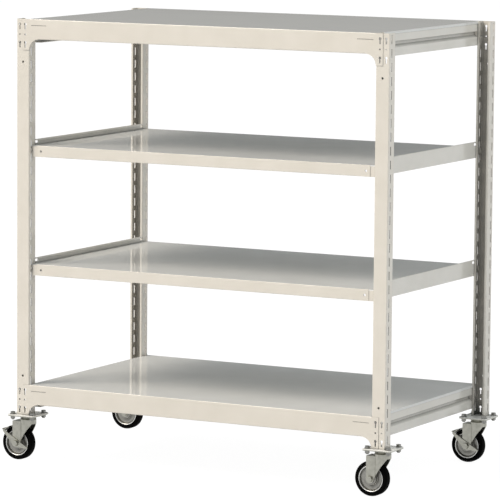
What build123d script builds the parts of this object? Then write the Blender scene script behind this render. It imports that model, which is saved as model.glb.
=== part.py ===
from build123d import *
import math
import os

# Overall sizes, over the outer faces of the posts and from the floor up
rack_width = 1200.0
rack_depth = 698.0
rack_height = 1296.0

# Surface of the bottom deck above the foot of the posts
bottom_deck_rise = 89.8

# How many slot rows lie below the one that carries each middle shelf
upper_shelf_row_count = 20
lower_shelf_row_count = 11

# Posts: lipped C section, web outwards to the front or rear, open to the middle
post_web = 42.0
post_depth = 36.6
post_lip = 6.6
post_sheet = 2.0
post_bend = 3.0
slot_pitch = 38.5
slot_length = 24.0
slot_width = 5.4
slot_setback = 12.9
lowest_slot_height = 24.0
slot_end_margin = 4.0
mid_hole_diameter = 7.0
top_mid_hole_drop = 124.0
foot_mid_hole_rise = 115.5

# Keyholes and the round hole between them, measured down from the deck surface; the inner column
# goes through the beam's gusset as well
keyhole_diameter = 8.0
keyhole_neck = 4.0
keyhole_length = 19.0
keyhole_drops = (11.0, 64.0)
gauge_hole_diameter = 5.0
gauge_hole_drop = 44.5
post_keyhole_inset = 10.5
gusset_keyhole_inset = 29.3

# Front and rear beams of the top and bottom deck, with flared ends over the posts
deck_beam_height = 58.0
deck_beam_sheet = 1.5
gusset_height = 89.4
gusset_lap = 22.0
deck_beam_flange = 24.0
deck_beam_return = 9.0
beam_fold_radius = 2.2
seam_length = 50.0
seam_height = 1.8
seam_depth = 1.0
seam_drop = 18.0
seam_inset = 8.0

# Side rails of the top and bottom deck, with a pressed groove
deck_rail_drop = 69.5
deck_rail_sheet = 1.6
groove_drop = 30.0
groove_height = 8.0
groove_depth = 8.0
groove_upper_slope = 1.5
groove_lower_slope = 7.0
deck_rail_flange = 20.0

# Inner radius of the folds in rails, and the outer one along the edges of a panel
rail_fold_radius = 0.8
panel_fold_radius = 2.0

# Panels: thin trays that lie on the beams
panel_sheet = 1.2
deck_panel_skirt = 7.0
shelf_panel_skirt = 20.0

# Beams of the middle shelves
shelf_beam_height = 32.4
shelf_beam_sheet = 1.2
shelf_beam_recess = 12.0
shelf_beam_end_gap = 20.0
shelf_beam_flange = 18.0
shelf_beam_return = 8.0
shelf_beam_fold_radius = 1.8
bracket_hole_diameter = 7.0
bracket_hole_inset = 32.7

# Side rails of the middle shelves, which stand above the shelf
shelf_rail_height = 48.0
shelf_rail_rise = 17.0
shelf_rail_sheet = 1.6
shelf_rail_flange = 18.0
shelf_rail_hem_height = 6.0
rail_notch_length = 13.0
rail_notch_height = 7.4
rail_notch_drop = 3.8

# Hooked end brackets of the middle shelves
bracket_sheet = 2.0
bracket_front_leg = 48.0
bracket_side_leg = 47.0
hook_seat_drop = 8.4
hook_nose_drop = 8.0
hook_nose_width = 3.4
bracket_gap_width = 4.0
bracket_gap_height = 8.0

# Hat-section stiffener under each panel
stiffener_height = 18.0
stiffener_crown = 40.0
stiffener_foot = 14.0
stiffener_sheet = 1.2
stiffener_end_gap = 40.0

# Foot plates and caster top plates, with their corner bolts
plate_width = 88.0
plate_depth = 90.0
plate_corner = 6.0
foot_plate_sheet = 2.5
caster_plate_sheet = 2.5
plate_setback = 12.5
bolt_spacing_x = 65.0
bolt_spacing_y = 66.0
bolt_diameter = 8.0
bolt_hole_diameter = 8.6
bolt_head_across = 13.0
bolt_head_height = 7.4
bolt_flange_diameter = 17.4
bolt_flange_height = 1.6
nut_height = 8.0
bolt_tail = 3.0

# Casters: wheel, fork, race and kingpin
wheel_diameter = 100.0
tyre_width = 27.0
tyre_chamfer = 4.0
rim_diameter = 76.0
rim_wall = 3.2
hub_diameter = 34.0
hub_width = 30.4
disc_step = 4.0
disc_outer_offset = 3.0
disc_inner_offset = 8.0
axle_diameter = 10.0
bush_diameter = 15.0
bush_clearance = 0.08
axle_trail = 31.0
fork_sheet = 2.5
fork_width = 37.0
crown_clearance = 13.1
fork_nose_radius = 24.0
fork_tail = 12.0
fork_skirt = 6.8
fork_lead = 19.0
race_gap = 0.4
upper_race_height = 8.6
lower_race_height = 9.0
upper_race_radius = 23.0
lower_race_radius = 24.0
race_bore_radius = 9.0
race_dish = 3.0
kingpin_diameter = 12.0
kingpin_clearance = 0.08
kingpin_head_diameter = 20.0
kingpin_head_height = 5.0
axle_head_across = 16.0
axle_head_height = 6.0
axle_nut_height = 8.0

# Brake levers: places on the side plate are measured from the axle, tail towards minus X
lever_sheet = 2.3
side_clearance = 0.3
lever_bridge_clearance = 1.6
lever_pedal_angle = 140.0
lever_bridge_sweep = 24.0
lever_pedal_length = 9.0
lever_boss_radius = 11.0
lever_arm_tip_radius = 3.0
lever_toe_reach = 38.0
lever_toe_drop = 12.0
lever_toe_radius = 2.2

# One overrun for every cut
overrun = 5.0

# Places worked out from the sizes above
half_width = rack_width / 2
half_depth = rack_depth / 2
wheel_radius = wheel_diameter / 2
fork_top_height = wheel_diameter + crown_clearance + fork_sheet
post_centre_x = half_width - post_web / 2
plate_centre_y = half_depth - post_depth / 2 - plate_setback
plate_underside = fork_top_height + lower_race_height + race_gap + upper_race_height
plate_top = plate_underside + caster_plate_sheet
post_foot = plate_top + foot_plate_sheet
bottom_deck_height = post_foot + bottom_deck_rise
slot_run = rack_height - post_foot - lowest_slot_height - slot_length / 2 - slot_end_margin
slot_row_count = math.floor(slot_run / slot_pitch) + 1
flange_face_x = half_width - post_web
rail_face_x = flange_face_x + shelf_rail_sheet
origin_shift = (axle_trail + wheel_radius - plate_width / 2) / 2


def slot_height(row):
    """Height of the middle of a slot row above the floor."""
    return post_foot + lowest_slot_height + row * slot_pitch


def shelf_height(row):
    """Surface of a middle shelf whose hooks rest on the lower end of the row's slots."""
    return slot_height(row) - slot_length / 2 + hook_seat_drop


deck_heights = {"bottom": bottom_deck_height, "top": rack_height}
shelf_heights = {"lower": shelf_height(lower_shelf_row_count), "upper": shelf_height(upper_shelf_row_count)}
corner_names = ("front_left", "front_right", "rear_left", "rear_right")
brake_corners = ("front_left", "rear_right")


def box_between(low, high):
    """Block given by its lowest and highest corners."""
    size = [b - a for a, b in zip(low, high)]
    middle = [(a + b) / 2 for a, b in zip(low, high)]
    return Pos(*middle) * Box(*size)


def to_right(shape):
    return mirror(shape, about=Plane.YZ)


def to_rear(shape):
    return mirror(shape, about=Plane.XZ)


def to_corner(shape, name):
    """Turn a piece modelled at the front left corner into the one at the named corner."""
    if "right" in name:
        shape = to_right(shape)
    if "rear" in name:
        shape = to_rear(shape)
    return shape


def wall_cut(sketch, y_start, depth):
    """Prism of a sketch drawn in X and Z, run from y_start towards plus Y."""
    return extrude(Plane.XZ.offset(-y_start) * sketch, -depth)


def keyhole_sketch(x, z_top):
    """Teardrop: a round head with a narrow neck below it."""
    head = Pos(x, z_top - keyhole_diameter / 2) * Circle(keyhole_diameter / 2)
    neck_length = keyhole_length - keyhole_diameter / 2
    neck = Pos(x, z_top - keyhole_length + neck_length / 2) * Rectangle(keyhole_neck, neck_length)
    return head + neck


def keyhole_column(x, surface):
    """The two keyholes and the round hole between them, for one end of one deck."""
    column = Pos(x, surface - gauge_hole_drop) * Circle(gauge_hole_diameter / 2)
    for drop in keyhole_drops:
        column += keyhole_sketch(x, surface - drop)
    return column


def post_section():
    """C section at the front left corner, with rounded bends and turned-in lips."""
    outer = RectangleRounded(post_web, post_depth, post_bend)
    inner = RectangleRounded(post_web - 2 * post_sheet, post_depth - 2 * post_sheet,
                             post_bend - post_sheet)
    mouth = Pos(0, post_depth / 2) * Rectangle(post_web - 2 * post_lip, 2 * post_bend)
    return Pos(-post_centre_x, -half_depth + post_depth / 2) * (outer - inner - mouth)


def post():
    """Front left post with slots through both flanges and holes in the web."""
    body = extrude(Pos(0, 0, post_foot) * post_section(), rack_height - post_foot)
    slot = Box(post_web + 2 * overrun, slot_width, slot_length)
    slots = [Pos(-post_centre_x, -half_depth + slot_setback, slot_height(row)) * slot
             for row in range(slot_row_count)]
    holes = Sketch()
    for surface in deck_heights.values():
        for inset in (post_keyhole_inset, gusset_keyhole_inset):
            holes += keyhole_column(-half_width + inset, surface)
    for height in (rack_height - top_mid_hole_drop, post_foot + foot_mid_hole_rise):
        holes += Pos(-post_centre_x, height) * Circle(mid_hole_diameter / 2)
    web_cut = wall_cut(holes, -half_depth - overrun, overrun + 2 * post_sheet)
    return body - slots - web_cut


def deck_beam_face(surface):
    """Front of a deck beam: a long web that flares down at both ends in a quarter round."""
    end_x = flange_face_x + gusset_lap
    radius = gusset_height - deck_beam_height
    low = surface - deck_beam_height
    foot = surface - gusset_height
    edge = Polyline((-flange_face_x, foot), (-end_x, foot), (-end_x, surface), (end_x, surface),
                    (end_x, foot), (flange_face_x, foot))
    right_arc = RadiusArc((flange_face_x, foot), (flange_face_x - radius, low), -radius)
    under = Line((flange_face_x - radius, low), (-flange_face_x + radius, low))
    left_arc = RadiusArc((-flange_face_x + radius, low), (-flange_face_x, foot), -radius)
    return make_face(Wire([*edge.edges(), *right_arc.edges(), *under.edges(), *left_arc.edges()]))


def deck_beam(surface):
    """Front beam of a deck: web, flange under the panel, lower flange with a returned lip."""
    face_y = -half_depth - deck_beam_sheet
    holes = Sketch()
    seams = Sketch()
    seam_x = flange_face_x - seam_inset - seam_length / 2
    for side in (-1, 1):
        holes += keyhole_column(side * (half_width - gusset_keyhole_inset), surface)
        seams += Pos(side * seam_x, surface - seam_drop) * Rectangle(seam_length, seam_height)
    web = wall_cut(deck_beam_face(surface), face_y, deck_beam_sheet)
    web -= wall_cut(holes, face_y - overrun, deck_beam_sheet + 2 * overrun)
    web -= wall_cut(seams, face_y - overrun, overrun + seam_depth)
    flange_top = surface - panel_sheet
    flange_x = flange_face_x - side_clearance
    upper = box_between((-flange_x, -half_depth, flange_top - deck_beam_sheet),
                        (flange_x, -half_depth + deck_beam_flange, flange_top))
    low = surface - deck_beam_height
    low_x = flange_face_x - gusset_height + deck_beam_height
    lower = box_between((-low_x, -half_depth, low),
                        (low_x, -half_depth + deck_beam_flange, low + deck_beam_sheet))
    lip = box_between((-low_x, -half_depth + deck_beam_flange - deck_beam_sheet, low),
                      (low_x, -half_depth + deck_beam_flange, low + deck_beam_return))
    top_fold = run_x(fold_cut((face_y, surface), (1, -1), beam_fold_radius), -flange_x, flange_x)
    low_fold = run_x(fold_cut((face_y, low), (1, 1), beam_fold_radius), -low_x, low_x)
    return web + upper + lower + lip - top_fold - low_fold


def fold_cut(corner, inward, radius):
    """Section that rounds a corner; inward gives the signs of the way into the sheet."""
    reach = radius + overrun
    middle = [place + sign * (radius - reach / 2) for place, sign in zip(corner, inward)]
    arc_middle = [place + sign * radius for place, sign in zip(corner, inward)]
    return Pos(*middle) * Rectangle(reach, reach) - Pos(*arc_middle) * Circle(radius)


def bend_section(section, points, radius):
    """Round the corners of a section that lie at the given points."""
    bends = [section.vertices().sort_by_distance(point)[0] for point in points]
    return fillet(bends, radius)


def rounded_section(points, sheet, radius):
    """Folded section with its bends rounded to an inner radius."""
    section = folded_section(points, sheet)
    near = points[1:-1]
    far = far_corners(points, sheet)[1:-1]
    tight = []
    wide = []
    for before, here, after, across in zip(points, near, points[2:], far):
        turn = Vector(here) - Vector(before)
        left = turn.cross(Vector(after) - Vector(here)).Z > 0
        tight.append(across if left else here)
        wide.append(here if left else across)
    return bend_section(bend_section(section, tight, radius), wide, radius + sheet)


def far_corners(points, sheet):
    """Corners of the far side of a sheet folded along points, to their left."""
    normals = []
    for start, end in zip(points, points[1:]):
        run = Vector(end[0] - start[0], end[1] - start[1]).normalized()
        normals.append(Vector(-run.Y, run.X))
    far_side = []
    for index, point in enumerate(points):
        before = normals[max(index - 1, 0)]
        after = normals[min(index, len(normals) - 1)]
        corner = (before + after) * (sheet / (1 + before.dot(after)))
        far_side.append((point[0] + corner.X, point[1] + corner.Y))
    return far_side


def folded_section(points, sheet):
    """Closed outline of a sheet folded along points; its thickness lies left of the way they run."""
    return make_face(Polyline(*points, *reversed(far_corners(points, sheet)), close=True))


def run_x(section, low, high):
    """Section drawn in Y and Z, run along X."""
    return extrude(Plane.YZ.offset(low) * section, high - low)


def run_y(section, low, high):
    """Section drawn in X and Z, run along Y."""
    return wall_cut(section, low, high - low)


def deck_rail(surface):
    """Left side rail of a deck: a folded sheet with a groove pressed in along its middle."""
    outer = -rail_face_x
    inner = outer + groove_depth
    edge = outer + deck_rail_flange
    top = surface - panel_sheet
    foot = surface - deck_rail_drop
    groove_top = surface - groove_drop
    groove_foot = groove_top - groove_height
    points = [(edge, top), (outer, top), (outer, groove_top + groove_upper_slope), (inner, groove_top),
              (inner, groove_foot), (outer, groove_foot - groove_lower_slope), (outer, foot), (edge, foot)]
    section = rounded_section(points, deck_rail_sheet, rail_fold_radius)
    rail_end = half_depth - post_depth
    return run_y(section, -rail_end, rail_end)


def deck_panel(surface):
    """Flat panel of a deck, cut out round the posts, with its sides turned down over the rails."""
    outer = rail_face_x + panel_sheet
    low = surface - panel_sheet
    plate = box_between((-outer, -half_depth, low), (outer, half_depth, surface))
    notch_x = flange_face_x - side_clearance
    notch_y = half_depth - post_depth - side_clearance
    notch = box_between((-outer - overrun, -half_depth - overrun, low - overrun),
                        (-notch_x, -notch_y, surface + overrun))
    plate -= [to_corner(notch, name) for name in corner_names]
    skirt = box_between((-outer, -notch_y, surface - deck_panel_skirt), (-rail_face_x, notch_y, low))
    fold = run_y(fold_cut((-outer, surface), (1, -1), panel_fold_radius), -notch_y, notch_y)
    return plate + skirt + to_right(skirt) - fold - to_right(fold)


def shelf_beam(surface):
    """Front beam of a middle shelf: web, flange under the panel, lower flange with a returned lip."""
    face_y = -half_depth + shelf_beam_recess
    inner_y = face_y + shelf_beam_sheet
    end_x = flange_face_x - shelf_beam_end_gap
    low = surface - shelf_beam_height
    web = box_between((-end_x, face_y, low), (end_x, inner_y, surface))
    for side in (-1, 1):
        hole = Pos(side * (flange_face_x - bracket_hole_inset), bracket_hole_height(surface))
        hole *= Circle(bracket_hole_diameter / 2)
        web -= wall_cut(hole, face_y - overrun, shelf_beam_sheet + 2 * overrun)
    clear_x = flange_face_x - bracket_front_leg - side_clearance
    flange_top = surface - panel_sheet
    back_y = inner_y + shelf_beam_flange
    upper = box_between((-clear_x, inner_y, flange_top - shelf_beam_sheet), (clear_x, back_y, flange_top))
    folds = [(inner_y, low), (back_y, low), (back_y, low + shelf_beam_return)]
    lower = run_x(folded_section(folds, shelf_beam_sheet), -clear_x, clear_x)
    top_edge = run_x(fold_cut((face_y, surface), (1, -1), shelf_beam_sheet), -end_x, end_x)
    low_fold = run_x(fold_cut((face_y, low), (1, 1), shelf_beam_fold_radius), -clear_x, clear_x)
    return web + upper + lower - top_edge - low_fold


def bracket_hole_height(surface):
    return surface - shelf_beam_height / 2


def shelf_rail(surface):
    """Left side rail of a middle shelf: it stands above the shelf, with a hem and a lower flange."""
    outer = -rail_face_x
    top = surface + shelf_rail_rise
    foot = top - shelf_rail_height
    end = half_depth - post_depth
    folds = [(outer, top), (outer, foot), (outer + shelf_rail_flange, foot)]
    rail = run_y(rounded_section(folds, shelf_rail_sheet, rail_fold_radius), -end, end)
    hem_x = outer + 2 * shelf_rail_sheet
    hem = box_between((outer + shelf_rail_sheet, -end, top - shelf_rail_hem_height), (hem_x, end, top))
    hem_fold = run_y(fold_cut((outer, top), (1, -1), shelf_rail_sheet), -end, end)
    hem_fold += run_y(fold_cut((hem_x, top), (-1, -1), shelf_rail_sheet), -end, end)
    notch_top = top - rail_notch_drop
    notch = box_between((outer - overrun, -end - overrun, notch_top - rail_notch_height),
                        (hem_x + overrun, -end + rail_notch_length, notch_top))
    return rail + hem - hem_fold - notch - to_rear(notch)


def shelf_panel(surface):
    """Flat panel of a middle shelf, between the rails, with its sides turned down inside them."""
    outer = flange_face_x - side_clearance
    front = half_depth - shelf_beam_recess - shelf_beam_sheet
    low = surface - panel_sheet
    plate = box_between((-outer, -front, low), (outer, front, surface))
    skirt_y = half_depth - shelf_beam_recess - shelf_beam_sheet - bracket_side_leg - side_clearance
    skirt = box_between((-outer, -skirt_y, surface - shelf_panel_skirt),
                        (-outer + panel_sheet, skirt_y, low))
    return plate + skirt + to_right(skirt)


def bracket(surface):
    """Hooked end bracket at the front left: two legs, a hook through the slot and a lower stop."""
    wall = -flange_face_x
    back = wall - post_sheet - side_clearance
    top = surface - panel_sheet - shelf_beam_sheet
    low = surface - shelf_beam_height
    seat = surface - hook_seat_drop
    nose = back - hook_nose_width
    gap_low = seat - bracket_gap_height
    outline = Polyline((wall + bracket_front_leg, low), (wall + bracket_front_leg, top), (nose, top),
                       (nose, seat - hook_nose_drop), (back, seat - hook_nose_drop), (back, seat),
                       (wall + bracket_gap_width, seat), (wall + bracket_gap_width, gap_low),
                       (wall, gap_low), (wall, low), close=True)
    front_y = -half_depth + shelf_beam_recess + shelf_beam_sheet
    leg = wall_cut(make_face(outline), front_y, bracket_sheet)
    hole = Pos(wall + bracket_hole_inset, bracket_hole_height(surface)) * Circle(bracket_hole_diameter / 2)
    leg -= wall_cut(hole, front_y - overrun, bracket_sheet + 2 * overrun)
    side_low = surface + shelf_rail_rise - shelf_rail_height + shelf_rail_sheet + rail_fold_radius
    side = box_between((wall, front_y, side_low),
                       (wall + bracket_sheet, front_y + bracket_side_leg, gap_low))
    return leg + side


def stiffener(surface, end_x):
    """Hat section under the middle of a panel."""
    top = surface - panel_sheet
    half = stiffener_crown / 2
    low = top - stiffener_height
    foot = half + stiffener_foot
    folds = [(-foot, top), (-half, top), (-half, low), (half, low), (half, top), (foot, top)]
    return run_x(folded_section(folds, -stiffener_sheet), -end_x, end_x)


def plate_places():
    """Middle of each caster plate, by corner."""
    places = {}
    for name in corner_names:
        side_x = 1 if "right" in name else -1
        side_y = 1 if "rear" in name else -1
        places[name] = (side_x * post_centre_x, side_y * plate_centre_y)
    return places


def bolt_places():
    return [Pos(side_x * bolt_spacing_x / 2, side_y * bolt_spacing_y / 2)
            for side_x in (-1, 1) for side_y in (-1, 1)]


def square_plate(sheet, top):
    """Plate with four bolt holes, middle at the origin."""
    outline = RectangleRounded(plate_width, plate_depth, plate_corner)
    for place in bolt_places():
        outline -= place * Circle(bolt_hole_diameter / 2)
    return extrude(Pos(0, 0, top - sheet) * outline, sheet)


def hexagon(across):
    return RegularPolygon(across / 2, 6, major_radius=False)


def bolt_flange(low):
    """Round flange of a bolt head or nut, standing on the given height."""
    return Pos(0, 0, low + bolt_flange_height / 2) * Cylinder(bolt_flange_diameter / 2, bolt_flange_height)


def plate_bolt():
    """Flanged hexagon head on the foot plate, with the shank down through both plates and the nut."""
    head = extrude(Pos(0, 0, post_foot) * hexagon(bolt_head_across), bolt_head_height)
    head += bolt_flange(post_foot)
    length = post_foot - plate_underside + nut_height + bolt_tail
    shank = Pos(0, 0, post_foot - length / 2) * Cylinder(bolt_diameter / 2, length)
    return head + shank


def plate_nut():
    nut = extrude(Pos(0, 0, plate_underside - nut_height) * hexagon(bolt_head_across), nut_height)
    nut += bolt_flange(plate_underside - bolt_flange_height)
    return nut - Pos(0, 0, plate_underside) * Cylinder(bolt_diameter / 2, 4 * nut_height)


def turned(points):
    """Solid of revolution about Z from radius and height pairs."""
    return revolve(Plane.XZ * make_face(Polyline(*points, close=True)), Axis.Z)


def caster_plate():
    """Caster's top plate with the upper race pressed on under it."""
    plate = square_plate(caster_plate_sheet, plate_top)
    high = plate_underside
    low = high - upper_race_height
    race = turned([(race_bore_radius, high), (upper_race_radius - race_dish, high),
                   (upper_race_radius, low), (race_bore_radius, low)])
    bore = Pos(0, 0, plate_top) * Cylinder(kingpin_diameter / 2, 4 * caster_plate_sheet)
    return plate + race - bore


def kingpin():
    """Pin riveted over the caster plate, with its head under the fork's crown."""
    head_top = fork_top_height - fork_sheet - side_clearance
    foot = head_top - kingpin_head_height
    return turned([(0, foot), (kingpin_head_diameter / 2, foot), (kingpin_head_diameter / 2, head_top),
                   (kingpin_diameter / 2, head_top), (kingpin_diameter / 2, plate_top), (0, plate_top)])


def fork_plan(shrink):
    """Plan of the fork: two straight cheeks that flare into a round nose about the swivel axis."""
    tail = axle_trail + fork_tail
    cheeks = Pos(-tail / 2) * Rectangle(tail, fork_width - 2 * shrink)
    return cheeks + Circle(fork_nose_radius - shrink)


def fork_side():
    """Side of the fork: upright tail edge, round foot about the axle and a slanting leading edge."""
    tail_x = -axle_trail - fork_tail
    nose_x = fork_nose_radius + overrun
    skirt = fork_top_height - fork_skirt
    toe_x = -axle_trail + fork_tail
    edge = Polyline((toe_x, wheel_radius), (fork_lead, skirt), (nose_x, skirt), (nose_x, fork_top_height),
                    (tail_x, fork_top_height), (tail_x, wheel_radius))
    lowest = (-axle_trail, wheel_radius - fork_tail)
    foot = ThreePointArc((tail_x, wheel_radius), lowest, (toe_x, wheel_radius))
    return make_face(Wire([*edge.edges(), *foot.edges()]))


def fork():
    """Pressed fork with a flat crown, two cheeks and the lower race on top."""
    foot = wheel_radius - fork_tail
    walls = fork_plan(0) - fork_plan(fork_sheet) - Pos(-axle_trail - fork_tail) * Rectangle(
        2 * fork_sheet, fork_width - 2 * fork_sheet)
    walls = extrude(Pos(0, 0, foot) * walls, fork_top_height - foot)
    body = walls & wall_cut(fork_side(), -fork_nose_radius - overrun, 2 * (fork_nose_radius + overrun))
    body += extrude(Pos(0, 0, fork_top_height - fork_sheet) * fork_plan(0), fork_sheet)
    low = fork_top_height
    high = low + lower_race_height
    body += turned([(race_bore_radius, low), (lower_race_radius, low),
                    (lower_race_radius, high - race_dish), (lower_race_radius - race_dish, high),
                    (race_bore_radius, high)])
    bore = Pos(0, 0, low) * Cylinder(kingpin_diameter / 2 + kingpin_clearance, 4 * fork_sheet)
    axle_bore = Rot(90, 0, 0) * Cylinder(axle_diameter / 2, fork_width + 2 * overrun)
    return body - bore - Pos(-axle_trail, 0, wheel_radius) * axle_bore


def on_axle(shape):
    """Turn a piece modelled about Z so that it lies on the axle, its foot to the front."""
    return Pos(-axle_trail, 0, wheel_radius) * Rot(-90, 0, 0) * shape


def axle(with_lever):
    """Axle bolt: head in front, shank through the fork and a nut behind."""
    seat = fork_width / 2
    if with_lever:
        seat += lever_sheet + 2 * side_clearance
    head = extrude(Pos(0, 0, -seat - axle_head_height) * hexagon(axle_head_across), axle_head_height)
    shank = Cylinder(axle_diameter / 2, 2 * seat)
    nut = extrude(Pos(0, 0, seat) * hexagon(axle_head_across), axle_nut_height)
    return on_axle(head + shank + nut)


def bush():
    length = fork_width - 2 * fork_sheet
    return on_axle(Cylinder(bush_diameter / 2, length) - Cylinder(axle_diameter / 2, length))


def wheel_core():
    """Pressed core: a hub, a dished disc and a flanged rim, turned about the axle."""
    bore = bush_diameter / 2 + bush_clearance
    hub = hub_diameter / 2
    rim = rim_diameter / 2
    seat = rim - rim_wall
    half_hub = hub_width / 2
    half_rim = tyre_width / 2
    outer = disc_outer_offset
    inner = disc_inner_offset
    near = [(bore, half_hub), (hub, half_hub), (hub, inner), (seat - disc_step, outer), (seat, half_rim),
            (rim, half_rim)]
    far = [(radius, -height) for radius, height in reversed(near)]
    return on_axle(turned(near + far))


def tyre():
    """Tyre on the rim, with chamfered shoulders."""
    half = tyre_width / 2
    rim = rim_diameter / 2
    flat = half - tyre_chamfer
    side = wheel_radius - tyre_chamfer
    return on_axle(turned([(rim, -half), (side, -half), (wheel_radius, -flat), (wheel_radius, flat),
                           (side, half), (rim, half)]))


def lever_bridge():
    """Bow over the tyre: a curved strip with a straight pedal lip, seen from the side."""
    inner = wheel_radius + lever_bridge_clearance
    outer = inner + lever_sheet
    start = math.radians(lever_pedal_angle - lever_bridge_sweep)
    end = math.radians(lever_pedal_angle)
    reach = 2 * outer
    wedge = make_face(Polyline((0, 0), (reach * math.cos(start), reach * math.sin(start)),
                               (reach * math.cos(end), reach * math.sin(end)), close=True))
    strip = (Circle(outer) - Circle(inner)) & wedge
    lip = Pos(inner + lever_pedal_length / 2, lever_sheet / 2) * Rectangle(lever_pedal_length, lever_sheet)
    return strip + Rot(0, 0, lever_pedal_angle) * Pos(0, -lever_sheet) * lip


def lever_cheek():
    """Cheek of the lever: a boss round the axle, an arm to the bridge and a pointed toe."""
    angle = math.radians(lever_pedal_angle)
    reach = wheel_radius + lever_bridge_clearance + lever_sheet / 2
    boss = Circle(lever_boss_radius)
    arm_tip = Pos(reach * math.cos(angle), reach * math.sin(angle)) * Circle(lever_arm_tip_radius)
    toe_tip = Pos(lever_toe_reach, -lever_toe_drop) * Circle(lever_toe_radius)
    arm = make_hull(boss.edges() + arm_tip.edges())
    toe = make_hull(boss.edges() + toe_tip.edges())
    return arm + toe - Circle(axle_diameter / 2 + bush_clearance)


def brake_lever():
    """Pressed lever that straddles fork and tyre, with its pedal at the tail."""
    inner = fork_width / 2 + side_clearance
    outer = inner + lever_sheet
    body = wall_cut(lever_bridge(), -outer, 2 * outer)
    body += wall_cut(lever_cheek(), -outer, lever_sheet)
    body += wall_cut(lever_cheek(), inner, lever_sheet)
    return Pos(-axle_trail, 0, wheel_radius) * body


def deck_nodes():
    """Beams, rails and panel of the top and bottom deck."""
    nodes = {}
    for name, surface in deck_heights.items():
        beam = deck_beam(surface)
        rail = deck_rail(surface)
        nodes[name + "_front_beam"] = beam
        nodes[name + "_rear_beam"] = to_rear(beam)
        nodes[name + "_left_rail"] = rail
        nodes[name + "_right_rail"] = to_right(rail)
        nodes[name + "_panel"] = deck_panel(surface)
    return nodes


def shelf_nodes():
    """Beams, rails, panel and brackets of the two middle shelves."""
    nodes = {}
    for name, surface in shelf_heights.items():
        beam = shelf_beam(surface)
        rail = shelf_rail(surface)
        corner_bracket = bracket(surface)
        nodes[name + "_shelf_front_beam"] = beam
        nodes[name + "_shelf_rear_beam"] = to_rear(beam)
        nodes[name + "_shelf_left_rail"] = rail
        nodes[name + "_shelf_right_rail"] = to_right(rail)
        nodes[name + "_shelf_panel"] = shelf_panel(surface)
        nodes[name + "_shelf_brackets"] = [to_corner(corner_bracket, corner) for corner in corner_names]
    return nodes


def stiffener_group():
    """The four stiffeners, one under each panel."""
    end_x = flange_face_x - stiffener_end_gap
    return [stiffener(surface, end_x) for surface in (*deck_heights.values(), *shelf_heights.values())]


def caster_nodes():
    """Every caster, with the foot plates, bolts and nuts that fix them to the posts."""
    nodes = {"foot_plates": [], "plate_bolts": [], "plate_nuts": [], "kingpins": []}
    for corner, (x, y) in plate_places().items():
        place = Pos(x, y)
        with_lever = corner in brake_corners
        nodes["foot_plates"].append(place * square_plate(foot_plate_sheet, post_foot))
        nodes["plate_bolts"] += [place * spot * plate_bolt() for spot in bolt_places()]
        nodes["plate_nuts"] += [place * spot * plate_nut() for spot in bolt_places()]
        nodes["kingpins"].append(place * kingpin())
        nodes["caster_plate_" + corner] = place * caster_plate()
        nodes["fork_" + corner] = place * fork()
        nodes["axle_" + corner] = place * axle(with_lever)
        nodes["wheel_bush_" + corner] = place * bush()
        nodes["wheel_core_" + corner] = place * wheel_core()
        nodes["tyre_" + corner] = place * tyre()
        if with_lever:
            nodes["brake_lever_" + corner] = place * brake_lever()
    return nodes


def all_nodes():
    nodes = {"post_" + corner: to_corner(post(), corner) for corner in corner_names}
    nodes.update(deck_nodes())
    nodes.update(shelf_nodes())
    nodes["panel_stiffeners"] = stiffener_group()
    nodes.update(caster_nodes())
    return nodes


def write_nodes():
    """Write each node to its own file, with the origin on the floor in the middle of the outline."""
    os.makedirs("parts", exist_ok=True)
    for name, shape in all_nodes().items():
        pieces = shape if isinstance(shape, list) else [shape]
        solids = [solid for piece in pieces for solid in piece.solids()]
        whole = solids[0] if len(solids) == 1 else Compound(solids)
        export_step(whole.moved(Location((origin_shift, 0, 0))), "parts/" + name + ".step")


write_nodes()
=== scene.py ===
import math

import bpy
from bpy.props import FloatProperty, FloatVectorProperty, IntProperty, PointerProperty
from mathutils import Matrix, Vector


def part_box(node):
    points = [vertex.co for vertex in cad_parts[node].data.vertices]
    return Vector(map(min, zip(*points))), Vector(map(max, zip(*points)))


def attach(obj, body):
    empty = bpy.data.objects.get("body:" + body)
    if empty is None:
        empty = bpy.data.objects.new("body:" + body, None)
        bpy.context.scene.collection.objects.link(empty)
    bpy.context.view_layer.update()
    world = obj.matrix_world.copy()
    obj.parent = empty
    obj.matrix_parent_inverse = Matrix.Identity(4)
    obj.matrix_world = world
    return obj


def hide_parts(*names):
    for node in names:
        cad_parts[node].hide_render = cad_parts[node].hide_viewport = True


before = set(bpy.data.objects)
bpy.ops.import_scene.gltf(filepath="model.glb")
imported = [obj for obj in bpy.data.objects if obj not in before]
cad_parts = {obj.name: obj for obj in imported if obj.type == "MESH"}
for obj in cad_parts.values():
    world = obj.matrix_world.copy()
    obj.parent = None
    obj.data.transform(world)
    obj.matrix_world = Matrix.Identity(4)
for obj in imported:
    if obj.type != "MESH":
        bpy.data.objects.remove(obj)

bl_info = {
    "name": "Mobile Rack Finish",
    "version": (1, 0, 0),
    "blender": (4, 5, 0),
    "location": "3D View > Sidebar > Rack",
    "description": "Paints and details the steel rack on casters, and sets its studio",
    "category": "Object",
}

MM = 0.001
CORNERS = ("front_left", "front_right", "rear_left", "rear_right")
BRAKE_CORNERS = ("front_left", "rear_right")
DECKS = ("bottom", "top")
SHELVES = ("lower_shelf", "upper_shelf")
BEAM_PIECES = ("front_beam", "rear_beam")
RAIL_PIECES = ("left_rail", "right_rail")

# Sizes of the wheel core that the frame's boxes don't give. The hub stands on the bush, and the disc
# starts at its foot with a hollow.
BUSH_GAP = 0.08 * MM
HUB_WALL = 9.4 * MM
DISC_ROOT = 5.4 * MM
DISC_HOLLOW = 4.6 * MM
HOLLOW_WIDTH = 1.2 * MM
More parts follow.
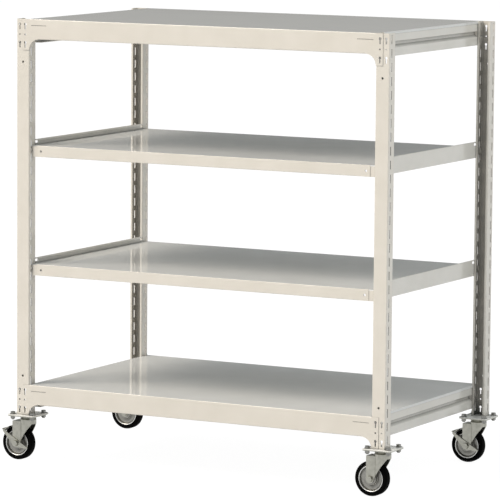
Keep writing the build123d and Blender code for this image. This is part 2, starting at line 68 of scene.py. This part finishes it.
# The disc's crown and the groove behind the lip. Each point is that far inside the rim's seat, and that
# far from the wheel's middle plane, in millimetres.
DISC_STEPS_MM = ((5.2, 8.0), (4.0, 7.6), (2.4, 4.2), (0.8, 4.0), (0.0, 5.4))
# The seat lies that far inside the rim, under the rolled lip, and the lip's band of painted highlight,
# a lighter zinc than the disc's, ends below it.
SEAT_DEPTH = 3.0 * MM
LIP_HIGHLIGHT_BAND = 3.2 * MM
LIP_ROUND = 1.5 * MM
EDGE_BEVEL = 0.7 * MM

# The lamps point at the middle of the rack, and the camera looks at the middle of its outline.
RACK_MIDDLE = Vector((0, 0, 0.65))
CAMERA_TARGET = Vector((2.161 * MM, 0, 623.64 * MM))


def rgb(hex_colour):
    """Linear colour with alpha from an sRGB hex value."""
    channels = [int(hex_colour[i:i + 2], 16) / 255 for i in (1, 3, 5)]
    linear = [c / 12.92 if c <= 0.04045 else ((c + 0.055) / 1.055) ** 2.4 for c in channels]
    return (*linear, 1.0)


def add_node(material, kind, links=(), **settings):
    """Add a shader node, set its properties or sockets by name, and link (socket, source) pairs."""
    node = material.node_tree.nodes.new(kind)
    for name, value in settings.items():
        if hasattr(node, name):
            setattr(node, name, value)
        else:
            node.inputs[name.replace("_", " ")].default_value = value
    for name, source in links:
        material.node_tree.links.new(source, node.inputs[name])
    return node


def new_material(name):
    """Material with nothing but its output node."""
    material = bpy.data.materials.new(name)
    material.use_nodes = True
    material.node_tree.nodes.clear()
    return material, add_node(material, "ShaderNodeOutputMaterial")


def finish_material(material, output, shader):
    """Join the shader to the output of a material, or of the world."""
    material.node_tree.links.new(shader.outputs[0], output.inputs["Surface"])
    return material


def speckle(material, size_mm, detail=2.0):
    """Noise whose blobs are about size_mm across, in the object's own metres."""
    place = add_node(material, "ShaderNodeTexCoord")
    noise = add_node(material, "ShaderNodeTexNoise", [("Vector", place.outputs["Object"])],
                     Scale=1 / (size_mm * MM), Detail=detail)
    return noise.outputs["Fac"]


def shade_between(material, factor, low, high, start=0.3, end=0.7):
    """Colour that runs from low to high while the factor goes from start to end."""
    ramp = add_node(material, "ShaderNodeValToRGB", [("Fac", factor)])
    for stop, position, colour in zip(ramp.color_ramp.elements, (start, end), (low, high)):
        stop.position = position
        stop.color = colour
    return ramp.outputs["Color"]


def bump(material, height, depth_mm):
    """Normal of a surface that is depth_mm deep from the lowest to the highest value of height."""
    return add_node(material, "ShaderNodeBump", [("Height", height)],
                    Distance=depth_mm * MM).outputs["Normal"]


def powder_coat(name, low, high, painted_shade, shade_reach_mm, open_share, roughness, peel_mm, peel_depth_mm):
    """Polyester powder coat on sheet steel, cured to a skin with a faint orange peel.

    The eye sees an off-white that stays even, with soft highlights along every fold. Where other steel
    stands within the reach in mm, as ambient occlusion finds it, the colour is painted darker towards
    the painted shade colour, until open_share of the way out is open: painted shade in channels,
    recesses and joints."""
    material, output = new_material(name)
    coat = shade_between(material, speckle(material, size_mm=90.0), low, high)
    # Painted shade: ambient occlusion blends the coat towards a darker colour where other steel stands
    # near.
    occlusion = add_node(material, "ShaderNodeAmbientOcclusion", Distance=shade_reach_mm * MM, samples=8)
    unshaded = add_node(material, "ShaderNodeMapRange", [("Value", occlusion.outputs["AO"])], From_Min=0.25,
                     From_Max=open_share)
    colour = add_node(material, "ShaderNodeMix", [("Factor", unshaded.outputs["Result"]), ("B", coat)],
                      data_type="RGBA", A=painted_shade)
    normal = bump(material, speckle(material, peel_mm, 1.0), peel_depth_mm)
    shader = add_node(material, "ShaderNodeBsdfPrincipled",
                      [("Base Color", colour.outputs["Result"]), ("Normal", normal)],
                      Roughness=roughness, IOR=1.5)
    return finish_material(material, output, shader)


def zinc_plate(name, low, high, roughness, cloud_mm):
    """Bright zinc, plated on pressed steel in a barrel, so its gloss wanders from spot to spot.

    The eye sees a grey metal with cloudy patches about cloud_mm across, under fine scratches, which
    are drawn coarser than real ones so that they show."""
    material, output = new_material(name)
    clouds = speckle(material, cloud_mm, 4.0)
    normal = bump(material, speckle(material, size_mm=0.8), depth_mm=0.01)
    shader = add_node(material, "ShaderNodeBsdfPrincipled",
                      [("Base Color", shade_between(material, clouds, low, high)),
                       ("Normal", normal)], Metallic=1.0, Roughness=roughness)
    return finish_material(material, output, shader)


def moulded_rubber(name, low, high, grain_mm):
    """Rubber tyre pressed in a mould, with a fine grain that scatters the light to a soft black."""
    material, output = new_material(name)
    grain = speckle(material, grain_mm, 3.0)
    shader = add_node(material, "ShaderNodeBsdfPrincipled",
                      [("Base Color", shade_between(material, grain, low, high)),
                       ("Normal", bump(material, grain, depth_mm=0.05))],
                      Roughness=0.8, IOR=1.52, Specular_IOR_Level=0.04)
    return finish_material(material, output, shader)


def turned_nylon(name, low, high):
    """Natural nylon bush, turned from bar: a milky off-white."""
    material, output = new_material(name)
    clouds = speckle(material, size_mm=4.0)
    shader = add_node(material, "ShaderNodeBsdfPrincipled",
                      [("Base Color", shade_between(material, clouds, low, high))],
                      Roughness=0.4, IOR=1.53, Subsurface_Weight=0.1)
    return finish_material(material, output, shader)


def dress(node_names, material):
    """Give CAD nodes a material."""
    for name in node_names:
        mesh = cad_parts[name].data
        mesh.materials.clear()
        mesh.materials.append(material)


def on_levels(levels, pieces):
    """Names of the pieces of some decks or shelves."""
    return [level + "_" + piece for level in levels for piece in pieces]


def at_corners(piece, corners=CORNERS):
    """Names of a piece at the corners that have it."""
    return [piece + "_" + corner for corner in corners]


def lathe(name, profile, centre, segments, slots=None):
    """Closed ring about the Y axis through centre, from (radius, offset) points in metres.

    Slots gives the material slot of each side of the profile."""
    points = []
    faces = []
    count = len(profile)
    for step in range(segments):
        angle = 2 * math.pi * step / segments
        for radius, offset in profile:
            points.append((centre.x + radius * math.cos(angle), centre.y + offset,
                           centre.z + radius * math.sin(angle)))
    for step in range(segments):
        here = step * count
        there = (step + 1) % segments * count
        for index in range(count):
            after = (index + 1) % count
            faces.append((here + index, there + index, there + after, here + after))
    mesh = bpy.data.meshes.new(name)
    mesh.from_pydata(points, [], faces)
    mesh.shade_smooth()
    mesh.set_sharp_from_angle(angle=math.radians(35))
    for face in mesh.polygons:
        face.material_index = slots[face.index % count] if slots else 0
    piece = bpy.data.objects.new(name, mesh)
    bpy.context.scene.collection.objects.link(piece)
    return piece


def arc_points(centre_r, centre_y, radius, start, end, steps):
    """Points of an arc in a lathe profile, with its angles in degrees from the radial way."""
    points = []
    for step in range(steps + 1):
        angle = math.radians(start + (end - start) * step / steps)
        points.append((centre_r + radius * math.cos(angle), centre_y + radius * math.sin(angle)))
    return points


def mirrored(points):
    """The other side of a lathe profile, in the order that goes on from its end."""
    return [(radius, -offset) for radius, offset in reversed(points)]


def wheel_centre(corner):
    """Middle of the wheel at a corner, at rest."""
    low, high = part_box("tyre_" + corner)
    return (low + high) / 2


def half_size(node):
    """A wheel piece's outer radius and half its width."""
    low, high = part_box(node)
    return (high.x - low.x) / 2, (high.y - low.y) / 2


def tyre_profile(shoulder):
    """Half round shoulders, a flat tread, and a bore on the rim."""
    outer, half = half_size("tyre_front_left")
    bore = half_size("wheel_core_front_left")[0]
    right = arc_points(outer - shoulder, half - shoulder, shoulder, 0, 90, 6)
    return [(bore, -half)] + mirrored(right) + right + [(bore, half)]


def core_profile():
    """Hub, a disc hollowed towards it, a groove and a rolled lip, as far as the CAD core reaches."""
    rim, hub_face = half_size("wheel_core_front_left")
    lip_face = half_size("tyre_front_left")[1]
    bore = half_size("wheel_bush_front_left")[0] + BUSH_GAP
    hub = bore + HUB_WALL
    seat = rim - SEAT_DEPTH
    near = [(bore, hub_face), (hub - EDGE_BEVEL, hub_face), (hub, hub_face - EDGE_BEVEL),
            (hub, DISC_ROOT), (hub + HOLLOW_WIDTH, DISC_HOLLOW)]
    near += [(seat - inset * MM, offset * MM) for inset, offset in DISC_STEPS_MM]
    near += [(seat, lip_face - EDGE_BEVEL)]
    near += arc_points((seat + rim) / 2, lip_face - LIP_ROUND, LIP_ROUND, 150, 0, 5)
    return near + mirrored(near)


def coat_shade(name, description, hex_colour):
    """Colour property for one shade of a coat."""
    return FloatVectorProperty(name=name, description=description, default=rgb(hex_colour), size=4,
                               min=0.0, max=1.0, subtype="COLOR")


class RackFinishSettings(bpy.types.PropertyGroup):
    frame_dark: coat_shade("Frame coat, dark", "Darkest shade of the frame's coat", "#E1DDD4")
    frame_light: coat_shade("Frame coat, light", "Lightest shade of the frame's coat", "#E7E3DB")
    frame_roughness: FloatProperty(name="Frame gloss", description="Roughness of the frame's coat",
                                   default=0.1, min=0.0, max=1.0, subtype="FACTOR")
    panel_dark: coat_shade("Panel coat, dark", "Darkest shade of the panels' coat", "#E2E3E2")
    panel_light: coat_shade("Panel coat, light", "Lightest shade of the panels' coat", "#E6E7E6")
    panel_roughness: FloatProperty(name="Panel gloss", description="Roughness of the panels' coat",
                                   default=0.03, min=0.0, max=1.0, subtype="FACTOR")


class RackWheelSettings(bpy.types.PropertyGroup):
    shoulder: FloatProperty(name="Shoulder", description="Radius of the tyre's shoulders",
                            default=5.0 * MM, unit="LENGTH")
    segments: IntProperty(name="Segments", description="Facets round each wheel", default=96, min=24)


class RackStageSettings(bpy.types.PropertyGroup):
    floor_reach: FloatProperty(name="Floor reach", description="How far the floor runs each way",
                               default=90.0, unit="LENGTH")
    camera_distance: FloatProperty(name="Camera distance", description="From its target",
                                   default=11.0598, unit="LENGTH")
    camera_azimuth: FloatProperty(name="Camera azimuth", description="Angle round the rack",
                                  default=math.radians(28.116), subtype="ANGLE")
    camera_elevation: FloatProperty(name="Camera elevation", description="Angle above the floor",
                                    default=math.radians(6.818), subtype="ANGLE")
    camera_roll: FloatProperty(name="Camera roll", description="Turn about the camera's own axis",
                               default=math.radians(0.458), subtype="ANGLE")
    camera_lens: FloatProperty(name="Lens", description="Focal length on a 36 mm wide sensor",
                               default=272.66, unit="CAMERA")


class RACK_OT_coat_frame(bpy.types.Operator):
    """Powder coat the posts, beams, rails, brackets and foot plates"""
    bl_idname = "rack.coat_frame"
    bl_label = "Coat the frame"

    def execute(self, context):
        settings = context.scene.rack_finish
        coat = (settings.frame_dark, settings.frame_light)
        rail_coat = (rgb("#DFDDD6"), rgb("#E5E3DD"))
        plate_coat = (rgb("#F2F2EE"), rgb("#F5F5F2"))
        beams = on_levels(DECKS + SHELVES, BEAM_PIECES) + on_levels(SHELVES, ["brackets"])
        deck_rails = on_levels(DECKS, RAIL_PIECES)
        shelf_rails = on_levels(SHELVES, RAIL_PIECES)
        # Nodes, then the coat's two shades, the painted shade colour in recesses and joints, its reach
        # in mm and open share.
        # The recess colours are painted shade, blended in by ambient occlusion near other steel.
        for name, nodes, shades, painted_shade, shade_reach_mm, open_share in (
                ("Powder coated post", at_corners("post"), coat, "#666662", 45.0, 0.65),
                ("Powder coated beam", beams, coat, "#585856", 12.0, 0.9),
                ("Powder coated deck rail", deck_rails, rail_coat, "#3C3E3C", 18.0, 0.9),
                ("Powder coated shelf rail", shelf_rails, rail_coat, "#8E908E", 12.0, 0.9),
                ("Powder coated foot plate", ["foot_plates"], plate_coat, "#8A8A86", 20.0, 0.75)):
            dress(nodes, powder_coat(name, *shades, rgb(painted_shade), shade_reach_mm, open_share,
                                     settings.frame_roughness, peel_mm=2.5, peel_depth_mm=0.006))
        return {"FINISHED"}


class RACK_OT_coat_panels(bpy.types.Operator):
    """Powder coat the four panels and their stiffeners, with a glossier skin"""
    bl_idname = "rack.coat_panels"
    bl_label = "Coat the panels"

    def execute(self, context):
        settings = context.scene.rack_finish
        # The panel coat is painted darker, towards #9C9C9A, within 32 mm of other steel: painted shade.
        coat = powder_coat("Gloss powder coated panel", settings.panel_dark, settings.panel_light,
                           rgb("#9C9C9A"), 32.0, 0.65, settings.panel_roughness, peel_mm=3.0,
                           peel_depth_mm=0.003)
        dress(on_levels(DECKS + SHELVES, ["panel"]) + ["panel_stiffeners"], coat)
        return {"FINISHED"}


class RACK_OT_plate_casters(bpy.types.Operator):
    """Zinc plate the caster plates, forks, levers, axles, bolts and nuts, and finish the bushes"""
    bl_idname = "rack.plate_casters"
    bl_label = "Plate the casters"

    def execute(self, context):
        pressing = zinc_plate("Zinc plated pressing", rgb("#A1A198"), rgb("#B5B4AB"), 0.36, 9.0)
        fastener = zinc_plate("Zinc plated fastener", rgb("#7F7F7C"), rgb("#9A9A96"), 0.32, 4.0)
        bush = turned_nylon("Turned nylon", rgb("#D9D6CB"), rgb("#E4E1D8"))
        dress(at_corners("caster_plate") + at_corners("fork") + at_corners("axle")
              + at_corners("brake_lever", BRAKE_CORNERS) + ["kingpins"], pressing)
        dress(["plate_bolts", "plate_nuts"], fastener)
        dress(at_corners("wheel_bush"), bush)
        return {"FINISHED"}


class RACK_OT_press_rims(bpy.types.Operator):
    """Fit the four pressed wheel cores, with a disc, a groove and a rolled lip"""
    bl_idname = "rack.press_rims"
    bl_label = "Press the rims"

    def execute(self, context):
        disc = zinc_plate("Zinc plated rim", rgb("#8F8E89"), rgb("#A2A19C"), 0.45, 12.0)
        # Painted highlight: the lip's band gets a lighter zinc than the disc, standing in for the light
        # the rolled lip catches.
        lip = zinc_plate("Rim lip with painted highlight", rgb("#D9D9D6"), rgb("#E6E6E4"), 0.38, 12.0)
        profile = core_profile()
        inner = max(radius for radius, offset in profile) - LIP_HIGHLIGHT_BAND
        slots = [int(min(start[0], end[0]) > inner)
                 for start, end in zip(profile, profile[1:] + profile[:1])]
        for corner in CORNERS:
            piece = lathe("pressed_core_" + corner, profile, wheel_centre(corner),
                          context.scene.rack_wheels.segments, slots)
            piece.data.materials.append(disc)
            piece.data.materials.append(lip)
            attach(piece, "wheel_" + corner)
            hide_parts("wheel_core_" + corner)
        return {"FINISHED"}


class RACK_OT_fit_tyres(bpy.types.Operator):
    """Fit the four moulded tyres with round shoulders"""
    bl_idname = "rack.fit_tyres"
    bl_label = "Fit the tyres"

    def execute(self, context):
        settings = context.scene.rack_wheels
        rubber = moulded_rubber("Moulded black rubber", rgb("#030303"), rgb("#070707"), 0.6)
        profile = tyre_profile(settings.shoulder)
        for corner in CORNERS:
            piece = lathe("moulded_tyre_" + corner, profile, wheel_centre(corner), settings.segments)
            piece.data.materials.append(rubber)
            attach(piece, "wheel_" + corner)
            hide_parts("tyre_" + corner)
        return {"FINISHED"}


class RACK_OT_set_stage(bpy.types.Operator):
    """Lay the floor and set the lamps, the world and the camera"""
    bl_idname = "rack.set_stage"
    bl_label = "Set the stage"

    def execute(self, context):
        settings = context.scene.rack_stage
        lay_floor(settings.floor_reach)
        light_world(context.scene)
        hang_lamps()
        place_camera(context.scene, settings)
        context.scene.view_settings.view_transform = "Standard"
        return {"FINISHED"}


def lay_floor(reach):
    """Pale floor that the camera and the gloss see as white, and that keeps the rack's shadow."""
    mesh = bpy.data.meshes.new("floor")
    corners = [(-reach, -reach, 0), (reach, -reach, 0), (reach, reach, 0), (-reach, reach, 0)]
    mesh.from_pydata(corners, [], [(0, 1, 2, 3)])
    floor = bpy.data.objects.new("floor", mesh)
    bpy.context.scene.collection.objects.link(floor)
    material, output = new_material("Matt white floor")
    diffuse = add_node(material, "ShaderNodeBsdfDiffuse", Color=rgb("#CACACA"))
    glow = add_node(material, "ShaderNodeEmission", Color=rgb("#FFFFFF"), Strength=1.14)
    path = add_node(material, "ShaderNodeLightPath")
    seen = path.outputs["Is Camera Ray"]
    for ray in ("Is Glossy Ray", "Is Transmission Ray"):
        seen = add_node(material, "ShaderNodeMath", [(0, seen), (1, path.outputs[ray])],
                        operation="MAXIMUM").outputs[0]
    # The rest of the way to white is the lit floor itself, with the shadow on it.
    share = add_node(material, "ShaderNodeMath", [(0, seen)], operation="MULTIPLY")
    share.inputs[1].default_value = 0.85
    mix = add_node(material, "ShaderNodeMixShader",
                   [("Fac", share.outputs[0]), (1, diffuse.outputs[0]), (2, glow.outputs[0])])
    mesh.materials.append(finish_material(material, output, mix))


def light_world(scene):
    """Dim room at eye level that brightens overhead and to the left, as under a large soft box."""
    world = bpy.data.worlds.new("studio")
    world.use_nodes = True
    world.node_tree.nodes.clear()
    output = add_node(world, "ShaderNodeOutputWorld")
    place = add_node(world, "ShaderNodeTexCoord")
    split = add_node(world, "ShaderNodeSeparateXYZ", [("Vector", place.outputs["Generated"])])
    lean = add_node(world, "ShaderNodeMath", [(0, split.outputs["X"]), (2, split.outputs["Z"])],
                    operation="MULTIPLY_ADD")
    lean.inputs[1].default_value = -0.3
    sky = shade_between(world, lean.outputs[0], rgb("#8E908E"), rgb("#F6F9FC"), 0.36, 0.75)
    glow = add_node(world, "ShaderNodeBackground", [("Color", sky)], Strength=0.75)
    scene.world = finish_material(world, output, glow)


def hang_lamps():
    """Warm soft lamp at the front left, and two neutral ones on the right: one high, one near and low.

    The near one isn't seen in the gloss, or the shelves would mirror it as a white sheet."""
    # Place and size in metres, power in watts, colour, and whether the lamp is seen.
    for name, place, size, power, colour, seen in (
            ("key_lamp", (-10.5, -13.0, 18.6), 12.0, 5040.0, "#FFF5E8", True),
            ("rim_lamp", (15.0, 0.0, 18.0), 12.0, 700.0, "#F0F2F2", True),
            ("side_lamp", (2.6, -0.3, 1.2), 1.6, 9.0, "#EEF1F0", False)):
        data = bpy.data.lights.new(name, "AREA")
        data.size = size
        data.energy = power
        data.color = rgb(colour)[:3]
        lamp = bpy.data.objects.new(name, data)
        lamp.location = place
        lamp.visible_camera = lamp.visible_glossy = seen
        lamp.rotation_euler = (RACK_MIDDLE - Vector(place)).to_track_quat("-Z", "Y").to_euler()
        bpy.context.scene.collection.objects.link(lamp)


def place_camera(scene, settings):
    """Long-lens camera that sees the rack from the front right, as the photograph does."""
    azimuth = settings.camera_azimuth
    elevation = settings.camera_elevation
    roll = settings.camera_roll
    back = Vector((math.sin(azimuth) * math.cos(elevation), -math.cos(azimuth) * math.cos(elevation),
                   math.sin(elevation)))
    right = Vector((math.cos(azimuth), math.sin(azimuth), 0))
    up = back.cross(right)
    side = right * math.cos(roll) + up * math.sin(roll)
    top = up * math.cos(roll) - right * math.sin(roll)
    place = CAMERA_TARGET + back * settings.camera_distance
    data = bpy.data.cameras.new("camera")
    data.sensor_width = 36.0
    data.lens = settings.camera_lens
    data.clip_end = 200.0
    camera = bpy.data.objects.new("camera", data)
    turn = Matrix((side, top, back)).transposed().to_4x4()
    camera.matrix_world = Matrix.Translation(place) @ turn
    scene.collection.objects.link(camera)
    scene.camera = camera


class RACK_PT_panel(bpy.types.Panel):
    bl_label = "Mobile rack"
    bl_idname = "RACK_PT_panel"
    bl_space_type = "VIEW_3D"
    bl_region_type = "UI"
    bl_category = "Rack"

    def draw(self, context):
        for group in (context.scene.rack_finish, context.scene.rack_wheels, context.scene.rack_stage):
            for name in group.__annotations__:
                self.layout.prop(group, name)
        for operator in OPERATORS:
            self.layout.operator(operator.bl_idname)


SETTINGS = (RackFinishSettings, RackWheelSettings, RackStageSettings)
OPERATORS = (RACK_OT_coat_frame, RACK_OT_coat_panels, RACK_OT_plate_casters, RACK_OT_press_rims,
             RACK_OT_fit_tyres, RACK_OT_set_stage)


def register():
    for item in SETTINGS + OPERATORS + (RACK_PT_panel,):
        bpy.utils.register_class(item)
    bpy.types.Scene.rack_finish = PointerProperty(type=RackFinishSettings)
    bpy.types.Scene.rack_wheels = PointerProperty(type=RackWheelSettings)
    bpy.types.Scene.rack_stage = PointerProperty(type=RackStageSettings)


def unregister():
    del bpy.types.Scene.rack_stage
    del bpy.types.Scene.rack_wheels
    del bpy.types.Scene.rack_finish
    for item in reversed(SETTINGS + OPERATORS + (RACK_PT_panel,)):
        bpy.utils.unregister_class(item)


def main():
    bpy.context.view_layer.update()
    register()
    for operator in OPERATORS:
        group, name = operator.bl_idname.split(".")
        getattr(getattr(bpy.ops, group), name)()


if __name__ == "__main__":
    main()
